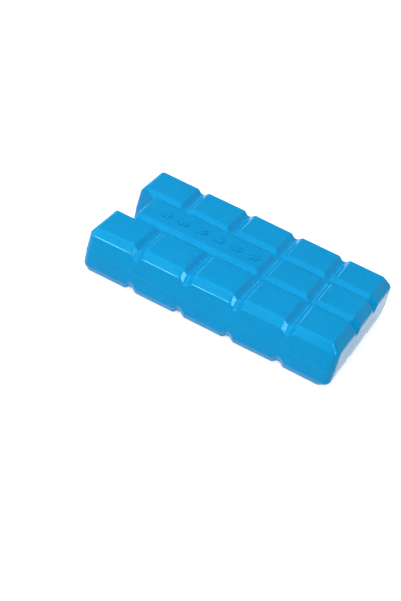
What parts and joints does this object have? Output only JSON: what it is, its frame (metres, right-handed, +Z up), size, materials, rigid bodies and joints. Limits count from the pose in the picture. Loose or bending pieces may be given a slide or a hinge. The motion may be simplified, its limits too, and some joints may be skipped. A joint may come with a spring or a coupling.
{
  "type": "reusable ice pack",
  "caption": "Sealed blow-moulded coolant block with raised rectangular pads divided by grooves on both faces, bevelled edges and a notch in one end, for chilling a cool box",
  "frame": {"origin": "centre of the bounding box in plan, at the underside that the pack rests on", "axes": "+X points along the length, away from the notched end; +Y across the width; +Z up, out of the face that carries the long bar"},
  "size_m": [0.165, 0.091, 0.032],
  "materials": {
    "pack": "satin sky blue, fine grain on the pads, smoother on the bevels and walls"
  },
  "bodies": {
    "root": {"ice_pack": "pack"}
  },
  "joints": []
}
